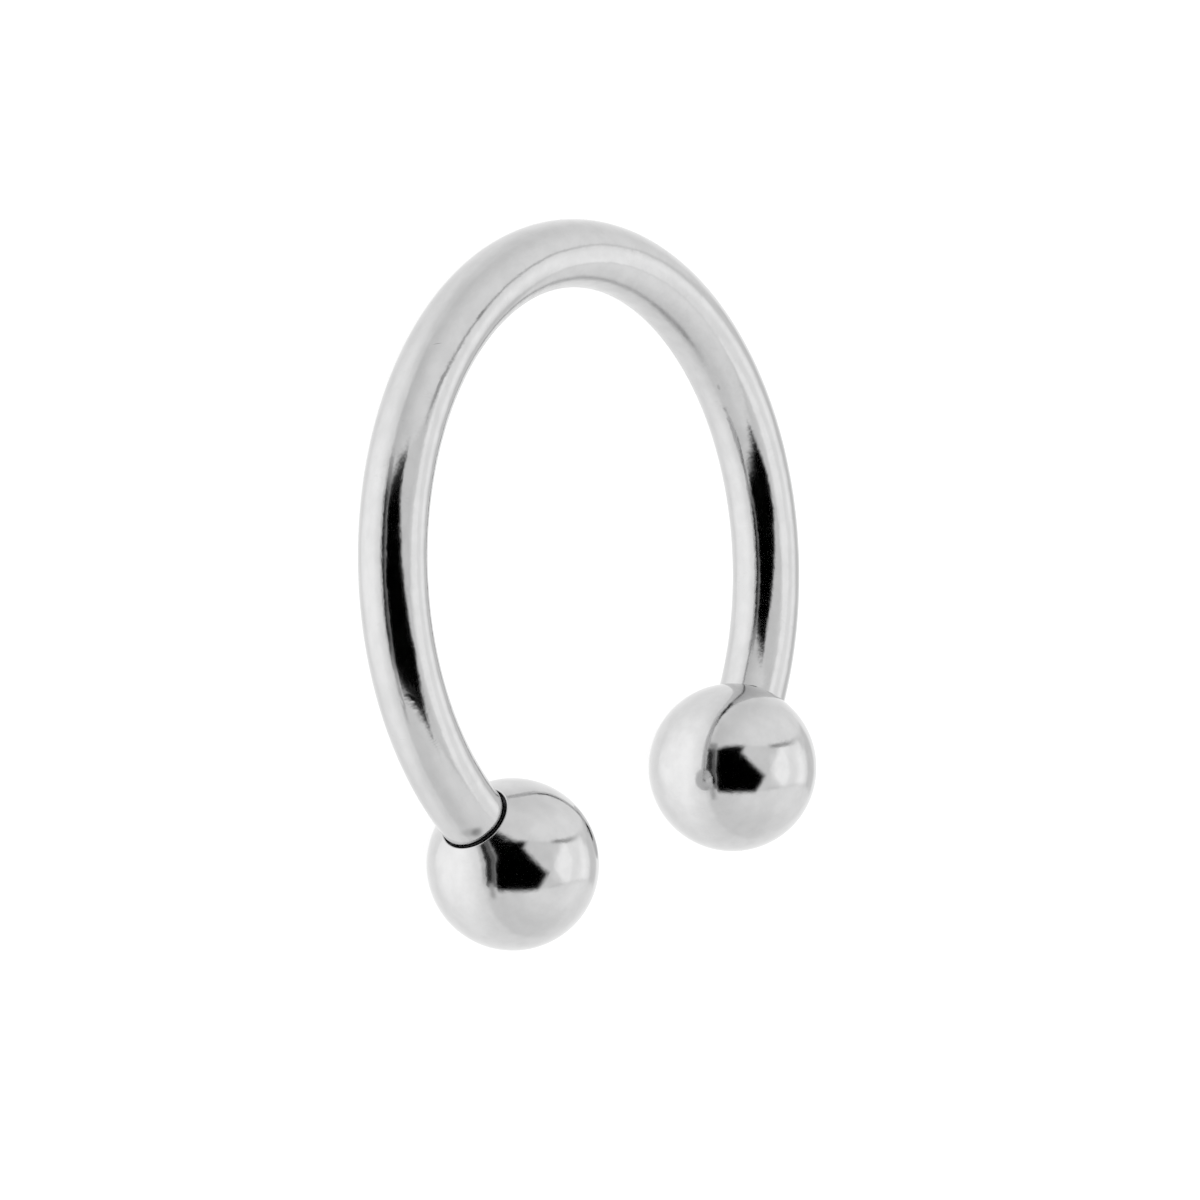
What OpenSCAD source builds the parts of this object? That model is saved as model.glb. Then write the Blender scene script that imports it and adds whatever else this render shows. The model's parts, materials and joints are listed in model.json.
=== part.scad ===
// Horseshoe barbell: a round wire bent to an open ring, with a screw-on ball on each end.
// It lies on its side on the surface z = 0, on both balls and on the far side of the bend.
// X runs from the left ball to the right ball, the open mouth faces -Y and Z is up.

/* [Bar] */
// Thickness of the wire
wire_d = 1.6; // [1.2:0.1:2]
// Inner diameter of the bend
inner_d = 13; // [11:0.5:16]
// Clear gap between the two balls
mouth_gap = 5; // [4.2:0.1:6]
// Straight stretch of the wire between the bend and its end
straight = 0.08; // [0.08:0.02:0.5]
// Rounding of the edge at the end of the wire
edge_round = 0.05; // [0.02:0.01:0.07]

/* [Posts] */
// Thickness of the post that carries a ball
post_d = 1.1; // [0.9:0.05:1.2]
// Length of a post, from the end of the wire to its tip
post_length = 2.4; // [1.8:0.1:2.6]
// Chamfer on the tip of a post
post_chamfer = 0.12; // [0.05:0.01:0.15]

/* [Balls] */
// Diameter of a ball
ball_d = 4; // [3.6:0.1:5]
// Depth that the end of the wire stands below the round surface of a ball
seat_depth = 0.15; // [0.1:0.01:0.2]
// Width of the ring-shaped gap between the wire and the wall of its seat
seat_gap = 0.15; // [0.06:0.01:0.18]
// Chamfer on the rim of the seat
rim_chamfer = 0.04; // [0.02:0.01:0.05]
// Clearance between the end of the wire and the floor of the seat
floor_clearance = 0.03; // [0.02:0.01:0.05]
// Running clearance round a post in its bore, on the radius
bore_clearance = 0.05; // [0.02:0.01:0.08]
// Spare depth of the bore past the tip of the post
bore_spare = 0.3; // [0.2:0.05:0.4]

/* [Hidden] */
$fn = 96;
wire_r = wire_d / 2;
ball_r = ball_d / 2;
bend_r = (inner_d + wire_d) / 2;
seat_r = wire_r + seat_gap;

// A ball's centre lies on the straight stretch, carried on past the end of the wire.
end_to_centre = sqrt(ball_r * ball_r - wire_r * wire_r) - seat_depth;
reach = straight + end_to_centre;
centre_radius = sqrt(bend_r * bend_r + reach * reach);
centre_x = (mouth_gap + ball_d) / 2;
centre_y = -sqrt(centre_radius * centre_radius - centre_x * centre_x);
half_bend = 180 - asin(centre_x / centre_radius) - atan(reach / bend_r);

// Both balls and the far side of the bend touch z = 0, so the plane of the bend leans a little.
lean = asin((ball_r - wire_r) / (bend_r - centre_y));
bend_height = wire_r + bend_r * sin(lean);
y_max = bend_r * cos(lean) + wire_r;
y_min = centre_y * cos(lean) - ball_r;

bar_steel = [0.80, 0.80, 0.81];
ball_steel = [0.86, 0.86, 0.87];

// Lays what is drawn flat about the centre of the bend down at rest, with the origin at the
// middle of the outer box's base.
module at_rest() {
    translate([0, -(y_max + y_min) / 2, bend_height]) rotate([-lean, 0, 0]) children();
}

// Places what is drawn along Z at one end of the bend, with +Z leading off it.
module at_bend_end(side) {
    rotate([0, 0, -side * half_bend]) translate([0, bend_r, 0]) rotate([0, side * 90, 0]) children();
}

module bend() {
    rotate([0, 0, 90 - half_bend]) rotate_extrude(angle = 2 * half_bend, $fn = 180)
        translate([bend_r, 0]) circle(r = wire_r, $fn = 64);
}

// Half outline of the straight stretch, with its outer edge rounded.
module straight_outline() {
    square([wire_r, straight - edge_round]);
    square([wire_r - edge_round, straight]);
    translate([wire_r - edge_round, straight - edge_round]) circle(r = edge_round);
}

// The post runs on from inside the bend, so that bar and post are one solid.
module post() {
    tip = straight + post_length;
    translate([0, 0, -wire_r]) cylinder(h = wire_r + tip - post_chamfer, d = post_d);
    translate([0, 0, tip - post_chamfer])
        cylinder(h = post_chamfer, d1 = post_d, d2 = post_d - 2 * post_chamfer);
}

module curved_bar() {
    color(bar_steel) at_rest() {
        bend();
        for (side = [-1, 1]) at_bend_end(side) {
            rotate_extrude() straight_outline();
            post();
        }
    }
}

// The seat and the blind bore, about the centre of the ball, with the wire coming in from -Z.
module seat_and_bore() {
    rim = sqrt(ball_r * ball_r - seat_r * seat_r);
    translate([0, 0, -ball_r])
        cylinder(h = ball_r - end_to_centre + floor_clearance, r = seat_r);
    translate([0, 0, -rim - rim_chamfer])
        cylinder(h = 2 * rim_chamfer, r1 = seat_r + 2 * rim_chamfer, r2 = seat_r);
    translate([0, 0, -end_to_centre])
        cylinder(h = post_length + bore_spare, d = post_d + 2 * bore_clearance);
}

module ball(side) {
    color(ball_steel) at_rest() at_bend_end(side) translate([0, 0, reach]) difference() {
        sphere(r = ball_r);
        seat_and_bore();
    }
}

module left_ball() { ball(-1); }
module right_ball() { ball(1); }

curved_bar();
left_ball();
right_ball();
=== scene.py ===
import json
import math
import bmesh
import bpy
from mathutils import Matrix, Vector


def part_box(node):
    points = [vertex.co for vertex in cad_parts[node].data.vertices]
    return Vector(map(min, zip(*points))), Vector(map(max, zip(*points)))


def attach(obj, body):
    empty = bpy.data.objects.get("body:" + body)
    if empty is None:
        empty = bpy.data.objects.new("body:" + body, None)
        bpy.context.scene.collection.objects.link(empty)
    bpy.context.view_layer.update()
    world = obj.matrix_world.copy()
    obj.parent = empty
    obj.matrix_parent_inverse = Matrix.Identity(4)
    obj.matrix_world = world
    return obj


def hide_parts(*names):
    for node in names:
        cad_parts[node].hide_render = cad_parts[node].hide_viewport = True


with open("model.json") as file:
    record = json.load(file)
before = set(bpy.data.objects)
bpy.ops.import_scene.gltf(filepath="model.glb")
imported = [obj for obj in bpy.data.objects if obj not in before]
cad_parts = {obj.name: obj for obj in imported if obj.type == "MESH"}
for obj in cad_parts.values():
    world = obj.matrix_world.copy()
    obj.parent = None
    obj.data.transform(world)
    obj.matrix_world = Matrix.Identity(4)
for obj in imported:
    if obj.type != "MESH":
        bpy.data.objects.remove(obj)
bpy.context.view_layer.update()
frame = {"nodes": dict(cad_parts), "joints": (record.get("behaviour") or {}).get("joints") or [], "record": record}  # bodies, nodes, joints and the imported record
scene = bpy.context.scene
scene.view_settings.view_transform = "Standard"
mm = 0.001
print("frame loaded:", ", ".join(sorted(frame["nodes"])))


# Helpers for node trees

def setInput(tree, socket, value):
    if isinstance(value, bpy.types.NodeSocket):
        tree.links.new(value, socket)
    else:
        socket.default_value = value


def addNode(tree, kind, values=None, **settings):
    node = tree.nodes.new(kind)
    for name, value in settings.items():
        setattr(node, name, value)
    for name, value in (values or {}).items():
        setInput(tree, node.inputs[name], value)
    return node


def calc(tree, operation, *values):
    return addNode(tree, "ShaderNodeMath", dict(enumerate(values)), operation=operation).outputs[0]


def vectorCalc(tree, operation, *values):
    node = addNode(tree, "ShaderNodeVectorMath", dict(enumerate(values)), operation=operation)
    return node.outputs["Value" if operation in ("DOT_PRODUCT", "LENGTH", "DISTANCE") else "Vector"]


def rootOfSquares(tree, a, b):
    squares = calc(tree, "MULTIPLY", a, a), calc(tree, "MULTIPLY", b, b)
    return calc(tree, "SQRT", calc(tree, "ADD", *squares))


# Rises smoothly from one result to the other while the value goes from low to high
def ramp(tree, value, low, high, first=0.0, last=1.0, shape="SMOOTHSTEP"):
    values = dict(enumerate((value, low, high, first, last)))
    return addNode(tree, "ShaderNodeMapRange", values, interpolation_type=shape).outputs[0]


def mixed(tree, factor, a, b):
    return addNode(tree, "ShaderNodeMix", {0: factor, 2: a, 3: b}).outputs[0]


def newTree(name, kind, inputs, outputs):
    tree = bpy.data.node_groups.new(name, kind)
    for label, socketType, value in inputs:
        socket = tree.interface.new_socket(label, in_out="INPUT", socket_type=socketType)
        if value is not None:
            socket.default_value = value
    for label, socketType in outputs:
        tree.interface.new_socket(label, in_out="OUTPUT", socket_type=socketType)
    return tree, tree.nodes.new("NodeGroupInput").outputs, tree.nodes.new("NodeGroupOutput").inputs


def placeGroup(tree, group, values):
    node = tree.nodes.new("ShaderNodeGroup")
    node.node_tree = group
    for name, value in values.items():
        setInput(tree, node.inputs[name], value)
    return node.outputs


def direction(azimuth, elevation):
    a, e = math.radians(azimuth), math.radians(elevation)
    return Vector((math.cos(e) * math.cos(a), math.cos(e) * math.sin(a), math.sin(e)))


# Sizes, and where things are in the frame

bar = {
    "wireRadius": 0.8 * mm,
    "bendRadius": 7.3 * mm,
    "straight": 0.08 * mm,
    "edgeRounding": 0.18 * mm,
    "threadCrest": 0.59 * mm,
    "threadRoot": 0.47 * mm,
    "threadPitch": 0.25 * mm,
    "threadRunOut": 0.16 * mm,
    "postLength": 2.4 * mm,
    "tipRounding": 0.02 * mm,
    "stepsAlong": 240,
    "stepsRound": 96,
    "stepsOverEdge": 16,
    "stepsPerPitch": 20,
}
ball = {
    "radius": 2.0 * mm,
    "seatDepth": 0.15 * mm,
    "seatRadius": 0.832 * mm,
    "rimRounding": 0.035 * mm,
    # The left seat is cut a little off the middle, and its rim stands proud of the round surface
    "seatShift": {"left_ball": (0.035 * mm, 0.012 * mm), "right_ball": (0.0, 0.0)},
    "rimLift": {"left_ball": 0.04 * mm, "right_ball": 0.0},
    "rimLiftWidth": 0.45 * mm,
    "floorClearance": 0.03 * mm,
    "boreRadius": 0.605 * mm,
    "boreGroove": 0.07 * mm,
    "boreChamfer": 0.04 * mm,
    "boreRunOut": 0.12 * mm,
    "boreLength": 2.7 * mm,
    "drillTip": 0.34 * mm,
    "stepsOver": 110,
    "stepsOverLift": 24,
    "stepsOverRim": 14,
    "stepsRound": 160,
    "stepsPerPitch": 12,
}

sides = {"left_ball": -1, "right_ball": 1}
farSide = next(mount for mount in frame["record"]["mounts"] if mount["name"] == "piercing_wire")
screwAxes = {joint["child"]: Vector(joint["axis"]).normalized() for joint in frame["joints"]}
lean = math.atan2(screwAxes["right_ball"].z, -screwAxes["right_ball"].y)
halfBend = math.acos(screwAxes["right_ball"].x)
bendFrame = Matrix.Rotation(-lean, 4, "X")
bendFrame.translation = Vector(farSide["pos_m"]) - bendFrame.to_3x3() @ Vector((0, bar["bendRadius"], 0))
endToCentre = math.sqrt(ball["radius"] ** 2 - bar["wireRadius"] ** 2) - ball["seatDepth"]


# One end of the bend, with Z leading off the end of the wire
def bendEnd(side):
    turn = Matrix.Rotation(-side * halfBend, 4, "Z")
    out = Matrix.Translation((0, bar["bendRadius"], 0)) @ Matrix.Rotation(side * math.pi / 2, 4, "Y")
    return bendFrame @ turn @ out


def ballPlace(side):
    return bendEnd(side) @ Matrix.Translation((0, 0, bar["straight"] + endToCentre))


# Camera

camera = {
    "azimuth": 163.59,
    "elevation": 35.18,
    "roll": -94.68,
    "distance": 247.35 * mm,
    "lens": 317.97,
    "sensor": 36.0,
    "clip": (10 * mm, 10000 * mm),
    "pictureWidth": 1200,
    "bendCentrePixel": (583.9, 565.8),
}


def makeCamera():
    data = bpy.data.cameras.new("camera")
    data.lens = camera["lens"]
    data.sensor_width = camera["sensor"]
    data.clip_start, data.clip_end = camera["clip"]
    viewer = bpy.data.objects.new("camera", data)
    scene.collection.objects.link(viewer)
    scene.camera = viewer
    towards = direction(camera["azimuth"], camera["elevation"])
    upright = (Vector((0, 0, 1)) - towards * towards.z).normalized()
    level = upright.cross(towards)
    roll = math.radians(camera["roll"])
    up = upright * math.cos(roll) + level * math.sin(roll)
    right = up.cross(towards)
    perPixel = camera["sensor"] / camera["lens"] * camera["distance"] / camera["pictureWidth"]
    middle = camera["pictureWidth"] / 2
    across = (middle - camera["bendCentrePixel"][0]) * perPixel
    above = (camera["bendCentrePixel"][1] - middle) * perPixel
    spot = bendFrame.translation + towards * camera["distance"] + right * across + up * above
    turn = Matrix((right, up, towards)).transposed().to_4x4()
    viewer.matrix_world = Matrix.Translation(spot) @ turn


makeCamera()
print("camera placed")


# Shader groups that several finishes use

polishLook = {
    "cloudDetail": 3.0,
    "cloudGrain": 0.55,
    "cloudRange": (0.3, 0.7),
    "scratchDetail": 2.0,
    "scratchGrain": 0.6,
    "scratchHalfWidth": 0.018,
    # Scratches come in patches: where the patch noise is over a limit that falls with their amount
    "patchFrequency": 0.8,
    "patchDetail": 1.0,
    "patchLimit": 0.75,
    "patchGrowth": 0.5,
    "patchSoftness": 0.12,
}


# Soft clouds and fine scratches left by polishing. The vector is in millimetres.
def polishMarksGroup():
    tree, given, result = newTree("polishMarks", "ShaderNodeTree", [
        ("Vector", "NodeSocketVector", None),
        ("Cloud Size", "NodeSocketFloat", 0.35),
        ("Scratch Spacing", "NodeSocketFloat", 0.05),
        ("Scratch Direction", "NodeSocketVector", (0.1, 1.0, 1.0)),
        ("Scratch Amount", "NodeSocketFloat", 0.3),
    ], [("Clouds", "NodeSocketFloat"), ("Scratches", "NodeSocketFloat")])
    frequency = calc(tree, "DIVIDE", 1.0, given["Cloud Size"])
    noise = addNode(tree, "ShaderNodeTexNoise", {
        "Vector": given["Vector"], "Scale": frequency,
        "Detail": polishLook["cloudDetail"], "Roughness": polishLook["cloudGrain"]})
    clouds = ramp(tree, noise.outputs[0], *polishLook["cloudRange"])
    stretched = vectorCalc(tree, "MULTIPLY", given["Vector"], given["Scratch Direction"])
    fine = addNode(tree, "ShaderNodeTexNoise", {
        "Vector": stretched, "Scale": calc(tree, "DIVIDE", 1.0, given["Scratch Spacing"]),
        "Detail": polishLook["scratchDetail"], "Roughness": polishLook["scratchGrain"]})
    offMiddle = calc(tree, "ABSOLUTE", calc(tree, "SUBTRACT", fine.outputs[0], 0.5))
    line = ramp(tree, offMiddle, 0.0, polishLook["scratchHalfWidth"], 1.0, 0.0)
    patch = addNode(tree, "ShaderNodeTexNoise", {
        "Vector": given["Vector"], "Detail": polishLook["patchDetail"],
        "Scale": calc(tree, "MULTIPLY", frequency, polishLook["patchFrequency"])})
    growth = calc(tree, "MULTIPLY", given["Scratch Amount"], polishLook["patchGrowth"])
    limit = calc(tree, "SUBTRACT", polishLook["patchLimit"], growth)
    patchy = ramp(tree, patch.outputs[0], limit, calc(tree, "ADD", limit, polishLook["patchSoftness"]))
    tree.links.new(clouds, result["Clouds"])
    tree.links.new(calc(tree, "MULTIPLY", line, patchy), result["Scratches"])
    return tree


# One mark with soft edges: an ellipse round a place, with a long and a wide direction
def oneMarkGroup():
    tree, given, result = newTree("oneMark", "ShaderNodeTree", [
        ("Vector", "NodeSocketVector", None),
        ("Place", "NodeSocketVector", (0, 0, 0)),
        ("Long Way", "NodeSocketVector", (1, 0, 0)),
        ("Wide Way", "NodeSocketVector", (0, 1, 0)),
        ("Core", "NodeSocketFloat", 0.2),
    ], [("Mark", "NodeSocketFloat")])
    away = vectorCalc(tree, "SUBTRACT", given["Vector"], given["Place"])
    u = vectorCalc(tree, "DOT_PRODUCT", away, given["Long Way"])
    v = vectorCalc(tree, "DOT_PRODUCT", away, given["Wide Way"])
    tree.links.new(ramp(tree, rootOfSquares(tree, u, v), given["Core"], 1.0, 1.0, 0.0), result["Mark"])
    return tree


polishMarks = polishMarksGroup()
oneMark = oneMarkGroup()


# Materials. Lengths inside them are in millimetres.

barFinish = {
    "tone": (0.61, 0.61, 0.612),
    "roughness": 0.09,
    "cloudSize": 0.3,
    "cloudStretch": (0.6, 1.0, 1.0),
    "cloudTone": 0.06,
    "cloudRoughness": 0.04,
    "cloudDepth": 0.0019,
    "scratchSpacing": 0.06,
    "scratchDirection": (1.0, 0.12, 0.12),
    "scratchAmount": 0.35,
    "scratchTone": 0.07,
    "scratchDepth": 0.0003,
    # The inner side of the bend is harder to reach, so it is polished less
    "innerSide": {"outward": (-0.55, -0.3), "fromMiddle": (7.4, 9.2), "roughness": 0.12},
    # Each mark runs from one place to another, in degrees along the bend and round the wire
    "marks": {
        "short scratch": {"ends": ((-37.4, 29), (-36.2, 45)), "width": 0.03, "tone": 0.30},
        "dark smudge": {"ends": ((-28.6, 74), (-24.2, 76)), "width": 0.11, "tone": 0.34},
        "lower streak": {"ends": ((-46.2, 64.5), (-40.2, 68)), "width": 0.06, "tone": 0.24},
        "edge nick": {"ends": ((-27.9, -24), (-27.7, -16)), "width": 0.05, "tone": 0.25},
        "grey dot": {"ends": ((62.5, 154), (64.6, 156.5)), "width": 0.11, "tone": 0.22},
        "lower dot": {"ends": ((68.2, 163), (70, 162)), "width": 0.10, "tone": 0.16},
        "end smudge": {"ends": ((-127.1, 26), (-127.4, 54)), "width": 0.36, "tone": 0.36},
        "smudge's tail": {"ends": ((-125.9, 8), (-127.3, 58)), "width": 0.34, "tone": 0.2},
    },
    # A small patch of uneven marks across the wire
    "crossMarks": {"ends": ((-101.6, 41), (-97.6, 24)), "width": 0.34, "core": 0.5,
                   "pitch": 0.1, "length": 0.5, "detail": 1.0, "depth": 0.0042},
}
ballFinish = {
    "tone": (0.64, 0.64, 0.642),
    "roughness": 0.07,
    "cloudSize": 0.34,
    "cloudStretch": (1.0, 1.0, 1.0),
    "cloudTone": 0.06,
    "cloudRoughness": 0.03,
    "cloudDepth": 0.0009,
    "scratchSpacing": 0.08,
    "scratchDirection": (0.15, 1.0, 0.6),
    "scratchAmount": 0.35,
    "scratchTone": 0.05,
    "scratchDepth": 0.0002,
    # The rim of the seat is smoothed but not polished
    "rimRadius": 0.92,
    "rimSoftness": 0.03,
    "rimRoughness": 0.08,
}
threadFinish = {"tone": (0.45, 0.45, 0.46), "roughness": 0.22, "grainSize": 0.05, "grainDepth": 0.0015}
# Drilled bore: a rough cut finish, with a near-black tone that is painted shade for the ball's seat and
# bore
shadedBoreFinish = {"tone": (0.13, 0.13, 0.135), "roughness": 0.42, "grainSize": 0.06, "grainDepth": 0.002}
cutLook = {"scratchDirection": (1, 1, 0.2), "scratchAmount": 0.5, "grainTone": 0.15, "grainRoughness": 1.3}


def newMaterial(name, metallic=1.0):
    material = bpy.data.materials.new(name)
    material.use_nodes = True
    tree = material.node_tree
    shader = tree.nodes["Principled BSDF"]
    shader.inputs["Metallic"].default_value = metallic
    return material, tree, shader


# Object coordinates brought to a place on the object, in millimetres
def placedCoordinates(tree, place):
    coords = addNode(tree, "ShaderNodeTexCoord")
    turned = addNode(tree, "ShaderNodeMapping", {
        "Vector": coords.outputs["Object"], "Location": place.translation,
        "Rotation": place.to_euler("XYZ"), "Scale": (mm, mm, mm)}, vector_type="TEXTURE")
    return turned.outputs["Vector"]


# The bent wire laid out straight: along its middle line, then across it, towards and away from the bend
def straightened(tree, vector):
    x, y, z = addNode(tree, "ShaderNodeSeparateXYZ", {0: vector}).outputs
    bendRadius = bar["bendRadius"] / mm
    along = calc(tree, "MULTIPLY", calc(tree, "ARCTAN2", x, y), bendRadius)
    outward = calc(tree, "SUBTRACT", rootOfSquares(tree, x, y), bendRadius)
    return addNode(tree, "ShaderNodeCombineXYZ", {0: along, 1: outward, 2: z}).outputs[0]


def onStraightWire(bendDegrees, wireDegrees):
    angle, wireRadius = math.radians(wireDegrees), bar["wireRadius"] / mm
    along = math.radians(bendDegrees) * bar["bendRadius"] / mm
    return Vector((along, wireRadius * math.cos(angle), wireRadius * math.sin(angle)))


def wireMark(tree, vector, ends, width, core=0.2):
    start, end = onStraightWire(*ends[0]), onStraightWire(*ends[1])
    place, half = (start + end) / 2, (end - start) / 2
    out = Vector((0, place.y, place.z)).normalized()
    longWay = (half - out * half.dot(out)).normalized()
    return placeGroup(tree, oneMark, {
        "Vector": vector, "Place": place, "Long Way": longWay / half.length,
        "Wide Way": out.cross(longWay) / (width / 2), "Core": core})["Mark"]


def darkened(tree, tone, shade):
    black = (0, 0, 0, 1)
    return addNode(tree, "ShaderNodeMix", {0: shade, 6: (*tone, 1), 7: black}, data_type="RGBA").outputs[2]


# Polished steel: clouds and scratches change tone, roughness and height a little
def polishedSteel(tree, shader, vector, finish, dark, extraHeight, extraRoughness):
    cloudy = vectorCalc(tree, "MULTIPLY", vector, finish["cloudStretch"])
    marks = placeGroup(tree, polishMarks, {
        "Vector": cloudy, "Cloud Size": finish["cloudSize"], "Scratch Spacing": finish["scratchSpacing"],
        "Scratch Direction": finish["scratchDirection"], "Scratch Amount": finish["scratchAmount"]})
    shade = calc(tree, "MULTIPLY_ADD", marks["Clouds"], finish["cloudTone"], dark)
    shade = calc(tree, "MULTIPLY_ADD", marks["Scratches"], finish["scratchTone"], shade)
    tree.links.new(darkened(tree, finish["tone"], shade), shader.inputs["Base Color"])
    rough = calc(tree, "MULTIPLY_ADD", marks["Clouds"], finish["cloudRoughness"], finish["roughness"])
    tree.links.new(calc(tree, "ADD", rough, extraRoughness), shader.inputs["Roughness"])
    height = calc(tree, "MULTIPLY_ADD", marks["Clouds"], finish["cloudDepth"], extraHeight)
    height = calc(tree, "MULTIPLY_ADD", marks["Scratches"], -finish["scratchDepth"], height)
    bump = addNode(tree, "ShaderNodeBump", {"Height": height, "Distance": mm})
    tree.links.new(bump.outputs[0], shader.inputs["Normal"])


def barMaterial():
    material, tree, shader = newMaterial("polishedBarSteel")
    vector = straightened(tree, placedCoordinates(tree, bendFrame))
    dark = 0.0
    for mark in barFinish["marks"].values():
        mask = wireMark(tree, vector, mark["ends"], mark["width"])
        dark = calc(tree, "MULTIPLY_ADD", mask, mark["tone"], dark)
    across = barFinish["crossMarks"]
    where = wireMark(tree, vector, across["ends"], across["width"], across["core"])
    stretched = vectorCalc(tree, "DIVIDE", vector, (across["pitch"], across["length"], across["length"]))
    ridges = addNode(tree, "ShaderNodeTexNoise", {
        "Vector": stretched, "Scale": 1.0, "Detail": across["detail"]}).outputs[0]
    extraHeight = calc(tree, "MULTIPLY", calc(tree, "MULTIPLY", ridges, where), across["depth"])
    along, outward = addNode(tree, "ShaderNodeSeparateXYZ", {0: vector}).outputs[:2]
    inner = barFinish["innerSide"]
    fromMiddle = calc(tree, "ABSOLUTE", along)
    extraRoughness = calc(tree, "MULTIPLY", ramp(tree, outward, *inner["outward"], inner["roughness"], 0.0),
                          ramp(tree, fromMiddle, *inner["fromMiddle"], 1.0, 0.0))
    polishedSteel(tree, shader, vector, barFinish, dark, extraHeight, extraRoughness)
    return material


def ballMaterial(node, side):
    material, tree, shader = newMaterial("polishedSteel_" + node)
    vector = placedCoordinates(tree, ballPlace(side))
    x, y, z = addNode(tree, "ShaderNodeSeparateXYZ", {0: vector}).outputs
    rimRadius = ballFinish["rimRadius"]
    fadeRadius = rimRadius + ballFinish["rimSoftness"]
    nearAxis = ramp(tree, rootOfSquares(tree, x, y), rimRadius, fadeRadius, 1.0, 0.0)
    rim = calc(tree, "MULTIPLY", nearAxis, calc(tree, "LESS_THAN", z, 0.0))
    extraRoughness = calc(tree, "MULTIPLY", rim, ballFinish["rimRoughness"])
    polishedSteel(tree, shader, vector, ballFinish, 0.0, 0.0, extraRoughness)
    return material


# Cut steel: thread flanks and drilled walls, with a fine grain from the tool
def cutSteel(name, finish):
    material, tree, shader = newMaterial(name)
    vector = placedCoordinates(tree, bendFrame)
    marks = placeGroup(tree, polishMarks, {
        "Vector": vector, "Cloud Size": finish["grainSize"], "Scratch Spacing": finish["grainSize"],
        "Scratch Direction": cutLook["scratchDirection"], "Scratch Amount": cutLook["scratchAmount"]})
    shade = calc(tree, "MULTIPLY", marks["Clouds"], cutLook["grainTone"])
    tree.links.new(darkened(tree, finish["tone"], shade), shader.inputs["Base Color"])
    roughest = finish["roughness"] * cutLook["grainRoughness"]
    rough = ramp(tree, marks["Clouds"], 0.0, 1.0, finish["roughness"], roughest)
    tree.links.new(rough, shader.inputs["Roughness"])
    grain = calc(tree, "ADD", marks["Clouds"], marks["Scratches"])
    height = calc(tree, "MULTIPLY", grain, finish["grainDepth"])
    bump = addNode(tree, "ShaderNodeBump", {"Height": height, "Distance": mm})
    tree.links.new(bump.outputs[0], shader.inputs["Normal"])
    return material


barSteel = barMaterial()
ballSteel = {node: ballMaterial(node, side) for node, side in sides.items()}
threadSteel = cutSteel("cutThreadSteel", threadFinish)
# The bore steel's near-black tone is painted shade in the seat round the wire's end and inside the bore
shadedBoreSteel = cutSteel("drilledBorePaintedShade", shadedBoreFinish)
print("materials made")


# Geometry helpers

meshing = {"mergeDistance": 0.0002 * mm, "sharpDegrees": 32}
# Where the flank of a thread starts and ends on the way from root to crest, with 1 at the crest's middle
threadForm = {"flankStarts": 0.2, "flankEnds": 0.88}


def arc(centreR, centreZ, radius, startDegrees, endDegrees, steps):
    points = []
    for i in range(steps + 1):
        angle = math.radians(startDegrees + (endDegrees - startDegrees) * i / steps)
        points.append((centreR + radius * math.cos(angle), centreZ + radius * math.sin(angle)))
    return points


# A half outline of radius and height, turned about Z
def lathed(outline, material, steps):
    verts, rings = [], []
    for radius, height in outline:
        count = 1 if radius == 0 else steps  # one point on the axis, or a ring round it
        rings.append([len(verts) + j % count for j in range(steps + 1)])
        for j in range(count):
            angle = 2 * math.pi * j / steps
            verts.append((radius * math.cos(angle), radius * math.sin(angle), height))
        if count > 1:
            rings[-1][-1] = rings[-1][0]
    faces = []
    for low, high in zip(rings, rings[1:]):
        for j in range(steps):
            face = (low[j], low[j + 1], high[j + 1], high[j])
            faces.append(list(dict.fromkeys(face)))
    mesh = bpy.data.meshes.new("lathed")
    mesh.from_pydata(verts, [], faces)
    mesh.materials.append(material)
    return mesh


# Runs a Geometry Nodes tree with its values and keeps the plain mesh
def baked(tree, values):
    carrier = bpy.data.objects.new(tree.name, bpy.data.meshes.new(tree.name))
    scene.collection.objects.link(carrier)
    modifier = carrier.modifiers.new(tree.name, "NODES")
    modifier.node_group = tree
    for item in tree.interface.items_tree:
        if item.item_type == "SOCKET" and item.in_out == "INPUT" and item.name in values:
            modifier[item.identifier] = values[item.name]
    mesh = bpy.data.meshes.new_from_object(carrier.evaluated_get(bpy.context.evaluated_depsgraph_get()))
    carrier.modifiers.remove(modifier)
    bpy.data.objects.remove(carrier)
    return mesh


# Joins meshes that meet edge to edge into one closed piece
def assembled(name, parts):
    form, materials = bmesh.new(), []
    for mesh, place in parts:
        mesh.transform(place)
        steel = mesh.materials[-1]
        if steel not in materials:
            materials.append(steel)
        known = len(form.faces)
        form.from_mesh(mesh)
        form.faces.ensure_lookup_table()
        for face in form.faces[known:]:
            face.material_index = materials.index(steel)
            face.smooth = True
    bmesh.ops.remove_doubles(form, verts=form.verts, dist=meshing["mergeDistance"])
    bmesh.ops.recalc_face_normals(form, faces=form.faces)
    openEdges = sum(1 for edge in form.edges if len(edge.link_faces) != 2)
    mesh = bpy.data.meshes.new(name)
    form.to_mesh(mesh)
    form.free()
    for material in materials:
        mesh.materials.append(material)
    mesh.set_sharp_from_angle(angle=math.radians(meshing["sharpDegrees"]))
    piece = bpy.data.objects.new(name, mesh)
    scene.collection.objects.link(piece)
    print(name, "has", len(mesh.polygons), "faces and", openEdges, "open edges")
    return piece


def finishTree(tree, mesh, steel, result):
    real = addNode(tree, "GeometryNodeRealizeInstances", {"Geometry": mesh})
    painted = addNode(tree, "GeometryNodeSetMaterial", {"Geometry": real.outputs[0], "Material": steel})
    tree.links.new(painted.outputs[0], result["Geometry"])


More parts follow.
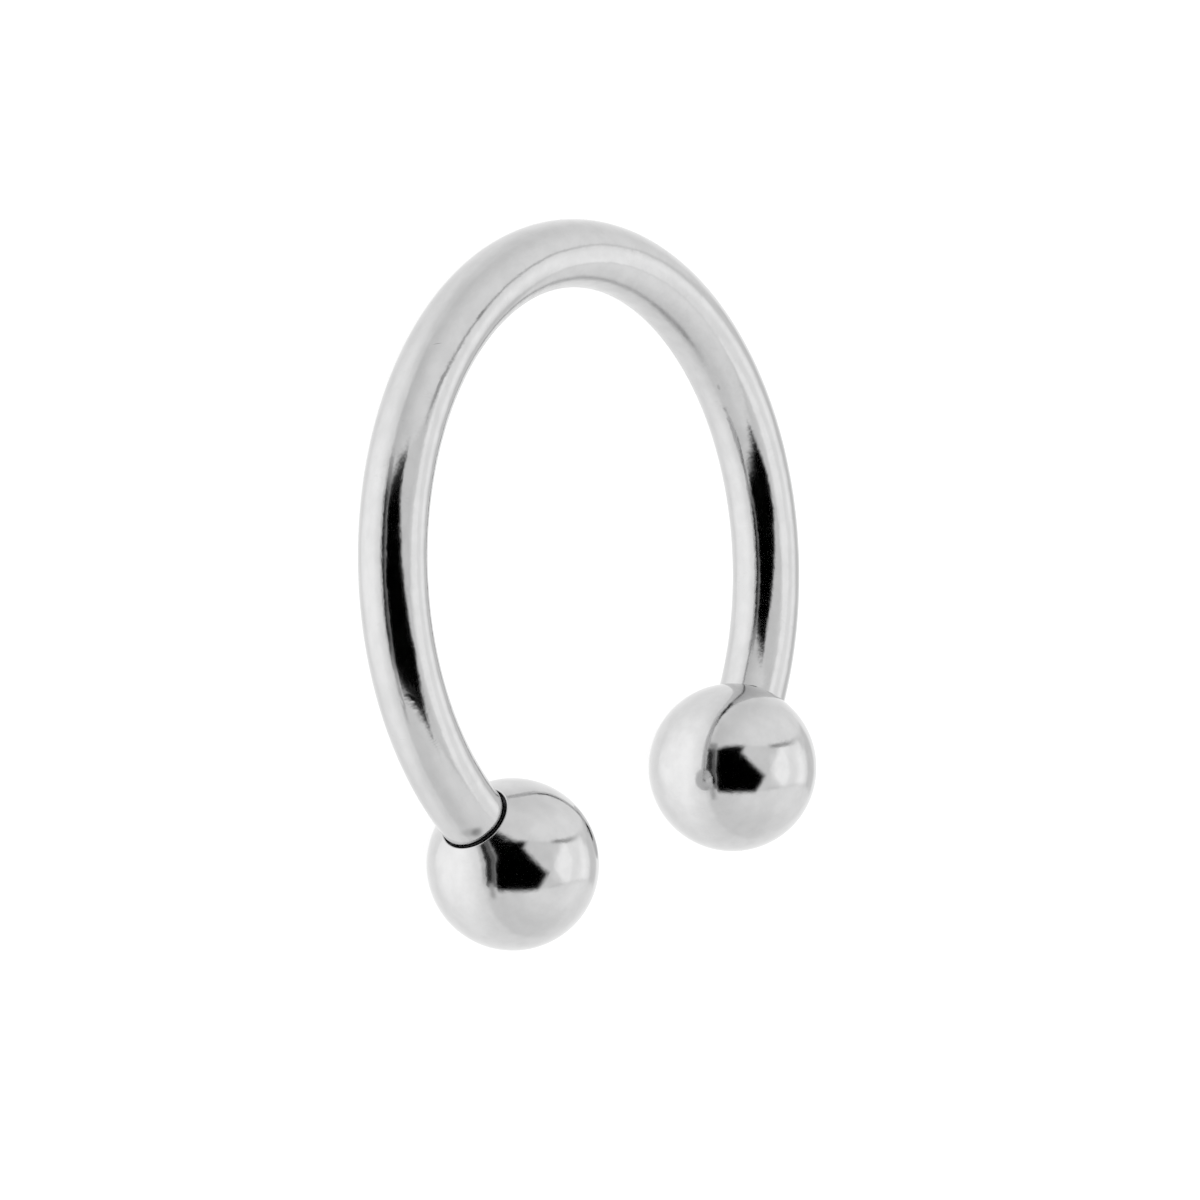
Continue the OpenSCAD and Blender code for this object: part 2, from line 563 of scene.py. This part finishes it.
# Bent wire: an open tube whose rings follow the arc of the bend
def bentWireTree():
    tree, given, result = newTree("bentWire", "GeometryNodeTree", [
        ("Bend Radius", "NodeSocketFloat", 0.0073),
        ("Wire Radius", "NodeSocketFloat", 0.0008),
        ("Half Bend", "NodeSocketFloat", 2.2),
        ("Steps Along", "NodeSocketInt", 240),
        ("Steps Round", "NodeSocketInt", 96),
        ("Steel", "NodeSocketMaterial", None),
    ], [("Geometry", "NodeSocketGeometry")])
    tube = addNode(tree, "GeometryNodeMeshCylinder", {
        "Vertices": given["Steps Round"], "Side Segments": given["Steps Along"],
        "Radius": 1.0, "Depth": 2.0}, fill_type="NONE")
    place = addNode(tree, "GeometryNodeInputPosition")
    x, y, z = addNode(tree, "ShaderNodeSeparateXYZ", {0: place.outputs[0]}).outputs
    turn = calc(tree, "MULTIPLY", z, given["Half Bend"])
    fromCentre = calc(tree, "MULTIPLY_ADD", y, given["Wire Radius"], given["Bend Radius"])
    moved = addNode(tree, "ShaderNodeCombineXYZ", {
        0: calc(tree, "MULTIPLY", fromCentre, calc(tree, "SINE", turn)),
        1: calc(tree, "MULTIPLY", fromCentre, calc(tree, "COSINE", turn)),
        2: calc(tree, "MULTIPLY", x, given["Wire Radius"])})
    shaped = addNode(tree, "GeometryNodeSetPosition", {
        "Geometry": tube.outputs["Mesh"], "Position": moved.outputs[0]})
    finishTree(tree, shaped.outputs[0], given["Steel"], result)
    return tree


# Cut thread: a tube whose wall rises and falls along a helix, plain at both ends
def cutThreadTree():
    tree, given, result = newTree("cutThread", "GeometryNodeTree", [
        ("Plain Radius", "NodeSocketFloat", 0.00047),
        ("Ridge Radius", "NodeSocketFloat", 0.00059),
        ("Pitch", "NodeSocketFloat", 0.00025),
        ("Length", "NodeSocketFloat", 0.0024),
        ("Run Out", "NodeSocketFloat", 0.00015),
        ("Steps Along", "NodeSocketInt", 200),
        ("Steps Round", "NodeSocketInt", 96),
        ("Steel", "NodeSocketMaterial", None),
    ], [("Geometry", "NodeSocketGeometry")])
    tube = addNode(tree, "GeometryNodeMeshCylinder", {
        "Vertices": given["Steps Round"], "Side Segments": given["Steps Along"],
        "Radius": 1.0, "Depth": given["Length"]}, fill_type="NONE")
    place = addNode(tree, "GeometryNodeInputPosition")
    x, y, z = addNode(tree, "ShaderNodeSeparateXYZ", {0: place.outputs[0]}).outputs
    height = calc(tree, "ADD", z, calc(tree, "MULTIPLY", given["Length"], 0.5))
    turns = calc(tree, "DIVIDE", calc(tree, "ARCTAN2", y, x), 2 * math.pi)
    pitches = calc(tree, "DIVIDE", height, given["Pitch"])
    phase = calc(tree, "FRACT", calc(tree, "SUBTRACT", pitches, turns))
    fromRoot = calc(tree, "ABSOLUTE", calc(tree, "MULTIPLY_ADD", phase, 2.0, -1.0))
    ridge = ramp(tree, fromRoot, threadForm["flankStarts"], threadForm["flankEnds"], shape="LINEAR")
    fadeIn = ramp(tree, height, 0.0, given["Run Out"])
    fadeOut = ramp(tree, calc(tree, "SUBTRACT", given["Length"], height), 0.0, given["Run Out"])
    raised = calc(tree, "MULTIPLY", ridge, calc(tree, "MULTIPLY", fadeIn, fadeOut))
    reach = calc(tree, "SUBTRACT", given["Ridge Radius"], given["Plain Radius"])
    radius = calc(tree, "MULTIPLY_ADD", raised, reach, given["Plain Radius"])
    moved = addNode(tree, "ShaderNodeCombineXYZ", {
        0: calc(tree, "MULTIPLY", x, radius), 1: calc(tree, "MULTIPLY", y, radius), 2: height})
    shaped = addNode(tree, "GeometryNodeSetPosition", {
        "Geometry": tube.outputs["Mesh"], "Position": moved.outputs[0]})
    finishTree(tree, shaped.outputs[0], given["Steel"], result)
    return tree


bentWire = bentWireTree()
cutThread = cutThreadTree()


# Whatever lies before the end of the bend follows its curve
def bentBack(mesh):
    bendRadius = bar["bendRadius"]
    for vertex in mesh.vertices:
        x, y, z = vertex.co
        if z < 0:
            fromCentre, angle = bendRadius + y, z / bendRadius
            vertex.co = (x, fromCentre * math.cos(angle) - bendRadius, fromCentre * math.sin(angle))
    return mesh


def makeBar():
    wireRadius, root, shoulder = bar["wireRadius"], bar["threadRoot"], bar["straight"]
    edge, tipEdge = bar["edgeRounding"], bar["tipRounding"]
    tip = shoulder + bar["postLength"]
    threadLength = bar["postLength"] - tipEdge
    back = edge - shoulder  # how far before the end of the bend the rounding starts
    endOutline = arc(wireRadius - edge, -back, edge, 0, 90, bar["stepsOverEdge"])
    endOutline += [((wireRadius + root) / 2, shoulder), (root, shoulder)]
    tipOutline = [(root, tip - tipEdge), (root - tipEdge, tip), (0, tip)]
    parts = [(baked(bentWire, {
        "Bend Radius": bar["bendRadius"], "Wire Radius": wireRadius,
        "Half Bend": halfBend - back / bar["bendRadius"],
        "Steps Along": bar["stepsAlong"], "Steps Round": bar["stepsRound"], "Steel": barSteel}), bendFrame)]
    for side in sides.values():
        thread = baked(cutThread, {
            "Plain Radius": root, "Ridge Radius": bar["threadCrest"], "Pitch": bar["threadPitch"],
            "Length": threadLength, "Run Out": bar["threadRunOut"],
            "Steps Along": round(threadLength / bar["threadPitch"] * bar["stepsPerPitch"]),
            "Steps Round": bar["stepsRound"], "Steel": threadSteel})
        place = bendEnd(side)
        parts.append((bentBack(lathed(endOutline, barSteel, bar["stepsRound"])), place))
        parts.append((thread, place @ Matrix.Translation((0, 0, shoulder))))
        parts.append((lathed(tipOutline, threadSteel, bar["stepsRound"]), place))
    return assembled("threadedBar", parts)


# A ball about its own centre, with the wire coming in from -Z
def makeBall(node, side):
    radius, rounding, steps = ball["radius"], ball["rimRounding"], ball["stepsRound"]
    seatRadius, boreRadius, boreEdge = ball["seatRadius"], ball["boreRadius"], ball["boreChamfer"]
    lift, liftWidth, liftSteps = ball["rimLift"][node], ball["rimLiftWidth"], ball["stepsOverLift"]
    rimMiddle = seatRadius + rounding
    rimHeight = -math.sqrt((radius + lift - rounding) ** 2 - rimMiddle ** 2)
    rimDegrees = math.degrees(math.atan2(rimHeight, rimMiddle))
    seatFloor = -endToCentre + ball["floorClearance"]
    boreStart, boreEnd = seatFloor + boreEdge, -endToCentre + ball["boreLength"]
    # The rim's lift grows with the square of the way to the rim, so it starts softly
    liftDegrees = math.degrees(liftWidth / radius)
    slope = math.degrees(math.atan(2 * lift / liftWidth))
    outside = [(0, radius)] + arc(0, 0, radius, 90, rimDegrees + liftDegrees, ball["stepsOver"])[1:]
    for i in range(1, liftSteps):
        angle = math.radians(rimDegrees + liftDegrees * (1 - i / liftSteps))
        reach = radius + lift * (i / liftSteps) ** 2
        outside.append((reach * math.cos(angle), reach * math.sin(angle)))
    outside += arc(rimMiddle, rimHeight, rounding, rimDegrees + slope, -180, ball["stepsOverRim"])
    # The seat's wall and floor take the near-black bore steel: painted shade in the recess round the wire's
    # end
    boreMouth = [(seatRadius, rimHeight), (seatRadius, seatFloor)]
    boreMouth += [(boreRadius + boreEdge, seatFloor), (boreRadius, boreStart)]
    seat = lathed(boreMouth, shadedBoreSteel, steps)
    # The outside and the seat's wall are turned by the seat's shift, and the bore stays in line
    shifted = Vector((*ball["seatShift"][node], -radius))
    skew = Vector((0, 0, -1)).rotation_difference(shifted).to_matrix()
    for vertex in seat.vertices[:2 * steps]:
        vertex.co = skew @ vertex.co
    # The tapped bore and its drilled end also take the near-black bore steel: painted shade inside the hole
    drilledEnd = [(boreRadius, boreEnd), (0, boreEnd + ball["drillTip"])]
    boreLength = boreEnd - boreStart
    thread = baked(cutThread, {
        "Plain Radius": boreRadius, "Ridge Radius": boreRadius + ball["boreGroove"],
        "Pitch": bar["threadPitch"], "Length": boreLength, "Run Out": ball["boreRunOut"],
        "Steps Along": round(boreLength / bar["threadPitch"] * ball["stepsPerPitch"]),
        "Steps Round": steps, "Steel": shadedBoreSteel})
    place = ballPlace(side)
    return assembled(node + "_polished", [
        (lathed(outside, ballSteel[node], steps), place @ skew.to_4x4()),
        (seat, place),
        (thread, place @ Matrix.Translation((0, 0, boreStart))),
        (lathed(drilledEnd, shadedBoreSteel, steps), place),
    ])


threadedBar = makeBar()
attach(threadedBar, "bar")
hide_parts("curved_bar")
for node, side in sides.items():
    polishedBall = makeBall(node, side)
    low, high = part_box(node)
    away = (ballPlace(side).translation - (low + high) / 2).length / mm
    print(node, "lies", round(away, 4), "mm from its place in the frame")
    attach(polishedBall, node)
    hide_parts(node)


# Floor: pale, and see-through from below

floorLook = {"radius": 3000 * mm, "segments": 64, "tone": 0.35, "glow": 0.79}


def makeFloor():
    form = bmesh.new()
    bmesh.ops.create_circle(form, cap_ends=True, segments=floorLook["segments"], radius=floorLook["radius"])
    mesh = bpy.data.meshes.new("floor")
    form.to_mesh(mesh)
    form.free()
    floor = bpy.data.objects.new("floor", mesh)
    scene.collection.objects.link(floor)
    material, tree, shader = newMaterial("paleFloor", metallic=0.0)
    tone = floorLook["tone"]
    shader.inputs["Base Color"].default_value = (tone, tone, tone, 1)
    shader.inputs["Roughness"].default_value = 1.0
    shader.inputs["Specular IOR Level"].default_value = 0.0
    shader.inputs["Emission Color"].default_value = (1, 1, 1, 1)
    shader.inputs["Emission Strength"].default_value = floorLook["glow"]
    geometry = addNode(tree, "ShaderNodeNewGeometry")
    clear = addNode(tree, "ShaderNodeBsdfTransparent")
    seen = addNode(tree, "ShaderNodeMixShader", {
        0: geometry.outputs["Backfacing"], 1: shader.outputs["BSDF"], 2: clear.outputs["BSDF"]})
    tree.links.new(seen.outputs[0], tree.nodes["Material Output"].inputs["Surface"])
    mesh.materials.append(material)
    floor.visible_glossy = False


makeFloor()
print("floor made")


# Light tent: the white cloth that the polished steel reflects, with an open front for the camera.
# It is a dome round the object that only reflections see. Directions are seen from the middle of
# the bend: the turn is in degrees from the open front and to the left, the height above the table.

lightTent = {
    "radius": 150 * mm,
    "subdivisions": 5,
    "frontFaces": 163.59,
    "cloth": 0.87,
    "plainLight": 1.15,
    # Soft areas of the cloth: turn, height, softness of both, and brightness. These areas and the
    # seams count their turn from behind.
    "backAreas": {
        "top": ((-75, 85), (72, 100), (30, 8), 1.03),
        "lamp over the back": ((-44, 57), (20, 84), (14, 7), 1.26),
        "back wall": ((-28, 40), (20, 59), (8, 3), 1.13),
        "bright fold": ((-16, 20), (29, 42), (8, 6), 1.28),
        "foot of the back wall": ((-11, 26), (-20, 20), (5, 6), 0.80),
        "foot of the seam": ((16, 34), (10, 26), (3, 4), 0.88),
    },
    # Side walls, darker at the foot and brighter at the back, low down. Each change is stated as
    # where it starts, where it ends, and its value at both.
    "leftWall": {"middle": (-94, -5), "radius": 66, "overHeight": (0, 42, 0.86, 1.04),
                 "towardsBack": (-142, -100, 0.11, 0.0), "backUpTo": (15, 50, 1.0, 0.0),
                 "towardsFront": (-80, -45, 0.0, -0.07)},
    "rightWall": {"middle": (108, 4), "radius": 62, "overHeight": (15, 52, 0.87, 1.02),
                  "towardsBack": (108, 148, 0.0, 0.14), "backUpTo": (35, 65, 1.0, 0.0)},
    "wallSoftness": 2.0,
    # The cloth between the right wall and the front
    "frontPanel": {"middle": (106, -5), "radius": 73, "brightness": 0.90,
                   "overTurn": (70, 90, 1.0, 0.0), "overHeight": (40, 60, 1.0, 0.0)},
    # Dark lines along circles, each shown in one soft area
    "seams": {
        "left": {"middle": (-94, -5), "radius": 66.2, "half": 4.2, "depth": 0.60,
                 "turn": (31, 84), "height": (8, 70), "soft": (13, 8)},
        "right": {"middle": (108, 4), "radius": 62.3, "half": 3.2, "depth": 0.10,
                  "turn": (-90, -8), "height": (8, 72), "soft": (8, 6)},
    },
    # The table is brighter in front and below, and shaded beside the walls
    "table": {
        "brightness": 1.05,
        "shadedSides": (((-140, -60), 0.13), ((65, 140), 0.07)),
        "sideSoftness": 25,
        "shadeDown": (8, 32, 1.0, 0.0),
        "frontMiddle": 5.0,
        "fromFrontMiddle": (20, 115, 1.0, 0.0),
        "brighterDown": (2, 36, 0.0, 0.28),
        "lessBelow": (62, 92, 1.0, 0.5),
        "horizon": (-7, 1),
    },
    # The opening for the camera: inside one circle, outside two others and above a straight edge,
    # with one corner cut off and a tip on the left. Its edge is soft.
    "opening": {
        "within": {"middle": (38, 35), "radius": 59.3},
        "leftOf": {"middle": (106, -5.5), "radius": 71.5},
        "rightOf": {"middle": (-117.5, 36), "radius": 65.86},
        "rounding": 9,
        "bottom": ((-20, 11), (35, 14.5)),
        "highCorner": ((62.5, 56), (48, 77)),
        "tipTop": ((-27, 43), (-40, 42)),
        "tipSide": ((-27, 0), (-27, 90)),
        "edge": (-2.5, 5.5),
        "bottomEdge": (0.5, 3.5),
    },
    # Strips under the opening: turn, how far under it, softness of both, brightness and amount
    "frontStrips": {
        "shaded end of the table": ((-26, 27), (12.5, 19.5), (8, 3), 0.62, 0.85),
        "side of the lip": ((-30, 0), (0, 12), (3.5, 2), 0.40, 1.0),
        "lip": ((-22, 33), (2, 14.3), (2, 1.2), 0.15, 1.0),
        "gap": ((-19, 28), (7.2, 12.8), (3, 1.2), 0.03, 1.0),
        "end of the gap": ((27, 47), (5, 12), (4, 3), 0.50, 0.9),
    },
}


# A mask that is 1 inside a box of turn and height and has soft edges
def softAreaGroup():
    sizes = ("First Side", "Last Side", "Bottom", "Top", "Side Softness", "End Softness")
    tree, given, result = newTree("softArea", "ShaderNodeTree", [
        (name, "NodeSocketFloat", 0.0) for name in ("Turn", "Height") + sizes
    ], [("Area", "NodeSocketFloat")])
    area = 1.0
    for value, low, high, soft in (("Turn", "First Side", "Last Side", "Side Softness"),
                                   ("Height", "Bottom", "Top", "End Softness")):
        for edge, first, last in ((low, 0.0, 1.0), (high, 1.0, 0.0)):
            start = calc(tree, "SUBTRACT", given[edge], given[soft])
            end = calc(tree, "ADD", given[edge], given[soft])
            area = calc(tree, "MULTIPLY", area, ramp(tree, given[value], start, end, first, last))
    tree.links.new(area, result["Area"])
    return tree


def tentCloth():
    softArea = softAreaGroup()
    material = bpy.data.materials.new("tentCloth")
    material.use_nodes = True
    tree = material.node_tree
    tree.nodes.clear()
    coords = addNode(tree, "ShaderNodeTexCoord")
    away = vectorCalc(tree, "SUBTRACT", coords.outputs["Object"], bendFrame.translation)
    way = addNode(tree, "ShaderNodeVectorRotate", {
        "Vector": vectorCalc(tree, "NORMALIZE", away), "Angle": -math.radians(lightTent["frontFaces"])},
        rotation_type="Z_AXIS").outputs[0]
    x, y, z = addNode(tree, "ShaderNodeSeparateXYZ", {0: way}).outputs
    degrees = 180 / math.pi
    turn = calc(tree, "MULTIPLY", calc(tree, "ARCTAN2", y, x), degrees)
    backTurn = calc(tree, "MULTIPLY", calc(tree, "ARCTAN2", calc(tree, "MULTIPLY", y, -1.0),
                                           calc(tree, "MULTIPLY", x, -1.0)), degrees)
    height = calc(tree, "MULTIPLY", calc(tree, "ARCSINE", z), degrees)
    depth = calc(tree, "MULTIPLY", height, -1.0)

    def area(across, upward, span, rise, soft):
        return placeGroup(tree, softArea, {
            "Turn": across, "Height": upward, "First Side": span[0], "Last Side": span[1],
            "Bottom": rise[0], "Top": rise[1], "Side Softness": soft[0], "End Softness": soft[1]})["Area"]

    def angleFrom(middle):
        dot = vectorCalc(tree, "DOT_PRODUCT", way, direction(*middle))
        return calc(tree, "MULTIPLY", calc(tree, "ARCCOSINE", dot), degrees)

    def outOf(circle):
        return calc(tree, "SUBTRACT", angleFrom(circle["middle"]), circle["radius"])

    def under(edge):
        normal = direction(*edge[0]).cross(direction(*edge[1])).normalized()
        dot = vectorCalc(tree, "DOT_PRODUCT", way, normal)
        return calc(tree, "MULTIPLY", calc(tree, "ARCSINE", dot), -degrees)

    def inside(circle, soft):
        return ramp(tree, outOf(circle), -soft, soft, 1.0, 0.0)

    def product(*factors):
        result = factors[0]
        for factor in factors[1:]:
            result = calc(tree, "MULTIPLY", result, factor)
        return result

    def between(value, span, soft):
        rising = ramp(tree, value, span[0] - soft, span[0] + soft)
        return product(rising, ramp(tree, value, span[1] - soft, span[1] + soft, 1.0, 0.0))

    def without(factor):
        return calc(tree, "SUBTRACT", 1.0, factor)

    light = lightTent["cloth"]
    for span, rise, soft, level in lightTent["backAreas"].values():
        light = mixed(tree, area(backTurn, height, span, rise, soft), light, level)

    def wallLight(wall):
        atBack = product(ramp(tree, turn, *wall["towardsBack"]), ramp(tree, height, *wall["backUpTo"]))
        return calc(tree, "ADD", ramp(tree, height, *wall["overHeight"]), atBack)

    wallSoft = lightTent["wallSoftness"]
    leftWall, rightWall = lightTent["leftWall"], lightTent["rightWall"]
    leftLight = calc(tree, "ADD", wallLight(leftWall), ramp(tree, turn, *leftWall["towardsFront"]))
    light = mixed(tree, inside(leftWall, wallSoft), light, leftLight)
    inRightWall = inside(rightWall, wallSoft)
    light = mixed(tree, inRightWall, light, wallLight(rightWall))
    panel = lightTent["frontPanel"]
    inPanel = product(inside(panel, wallSoft), without(inRightWall),
                      ramp(tree, turn, *panel["overTurn"]), ramp(tree, height, *panel["overHeight"]))
    light = mixed(tree, inPanel, light, panel["brightness"])
    for seam in lightTent["seams"].values():
        apart = calc(tree, "ABSOLUTE", calc(tree, "SUBTRACT", angleFrom(seam["middle"]), seam["radius"]))
        line = product(ramp(tree, apart, 0, seam["half"], 1.0, 0.0), seam["depth"],
                       area(backTurn, height, seam["turn"], seam["height"], seam["soft"]))
        light = calc(tree, "MULTIPLY", light, without(line))

    table = lightTent["table"]
    shaded = calc(tree, "ADD", *[
        product(between(turn, span, table["sideSoftness"]), amount)
        for span, amount in table["shadedSides"]])
    shaded = product(shaded, ramp(tree, depth, *table["shadeDown"]))
    fromMiddle = calc(tree, "ABSOLUTE", calc(tree, "SUBTRACT", turn, table["frontMiddle"]))
    lit = product(ramp(tree, depth, *table["brighterDown"]), ramp(tree, depth, *table["lessBelow"]),
                  ramp(tree, fromMiddle, *table["fromFrontMiddle"]))
    tableLight = calc(tree, "ADD", calc(tree, "SUBTRACT", table["brightness"], shaded), lit)
    light = mixed(tree, ramp(tree, height, *table["horizon"]), tableLight, light)

    opening = lightTent["opening"]
    leftOf = calc(tree, "MULTIPLY", outOf(opening["leftOf"]), -1.0)
    rightOf = calc(tree, "MULTIPLY", outOf(opening["rightOf"]), -1.0)
    body = calc(tree, "SMOOTH_MAX", leftOf, rightOf, opening["rounding"])
    body = calc(tree, "MAXIMUM", body, under(opening["highCorner"]))
    tip = calc(tree, "MAXIMUM", under(opening["tipTop"]), under(opening["tipSide"]))
    outside = calc(tree, "MAXIMUM", outOf(opening["within"]), calc(tree, "MINIMUM", body, tip))
    lower = under(opening["bottom"])
    aboveEdge = without(ramp(tree, lower, *opening["bottomEdge"]))
    dark = product(without(ramp(tree, outside, *opening["edge"])), aboveEdge)
    light = calc(tree, "MULTIPLY", light, without(dark))
    for span, rise, soft, level, amount in lightTent["frontStrips"].values():
        light = mixed(tree, product(area(turn, lower, span, rise, soft), amount), light, level)

    glow = addNode(tree, "ShaderNodeEmission", {"Color": (1, 1, 1, 1), "Strength": light})
    addNode(tree, "ShaderNodeOutputMaterial", {"Surface": glow.outputs[0]})
    material.cycles.emission_sampling = "NONE"
    return material


def makeTent():
    form = bmesh.new()
    bmesh.ops.create_icosphere(form, subdivisions=lightTent["subdivisions"], radius=lightTent["radius"])
    bmesh.ops.translate(form, verts=form.verts, vec=bendFrame.translation)
    mesh = bpy.data.meshes.new("lightTent")
    form.to_mesh(mesh)
    form.free()
    mesh.materials.append(tentCloth())
    tent = bpy.data.objects.new("lightTent", mesh)
    scene.collection.objects.link(tent)
    for ray in ("camera", "diffuse", "transmission", "volume_scatter", "shadow"):
        setattr(tent, "visible_" + ray, False)


# Plain light on everything that the tent's picture isn't for
def makeWorld():
    world = bpy.data.worlds.new("plainLight")
    scene.world = world
    world.use_nodes = True
    background = world.node_tree.nodes["Background"]
    background.inputs["Color"].default_value = (1, 1, 1, 1)
    background.inputs["Strength"].default_value = lightTent["plainLight"]


makeTent()
makeWorld()
print("light tent made")
